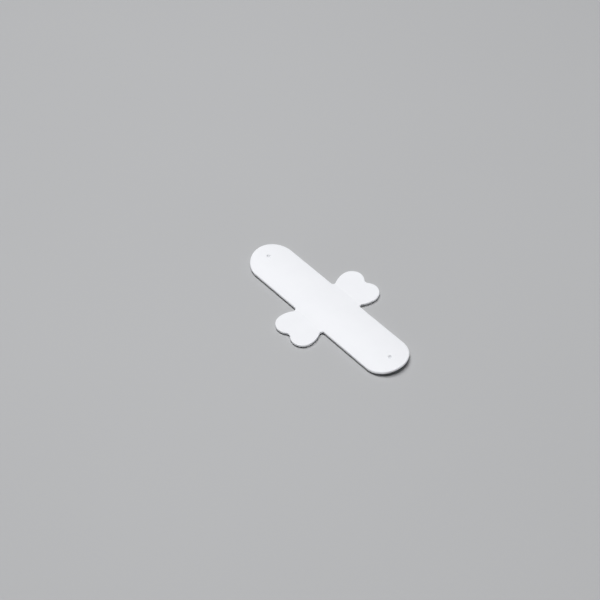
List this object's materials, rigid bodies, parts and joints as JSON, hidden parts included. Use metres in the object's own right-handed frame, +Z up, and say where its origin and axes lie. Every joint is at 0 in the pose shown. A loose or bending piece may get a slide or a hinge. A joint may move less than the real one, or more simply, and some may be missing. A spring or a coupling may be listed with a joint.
{
  "type": "flexible silicone phone holder",
  "caption": "Flexible white silicone phone holder: an arched strip with round ends and heart-shaped adhesive wings, moulded over a sprung steel band that snaps from flat to a stand.",
  "frame": {"origin": "centre of the holder, on the plane of the adhesive pads' lower faces", "axes": "+X along the strip, +Y across the wings towards the right pad, +Z up, away from the surface that the pads stick to"},
  "size_m": [0.0738, 0.0368, 0.0027],
  "materials": {
    "white_silicone": "matte moulded white silicone",
    "spring_steel": "cold-rolled spring steel",
    "adhesive_foam": "tacky pale grey foam tape"
  },
  "bodies": {
    "root": {"silicone_body": "white_silicone", "spring_band": "spring_steel", "left_adhesive_pad": "adhesive_foam", "right_adhesive_pad": "adhesive_foam"}
  },
  "joints": []
}
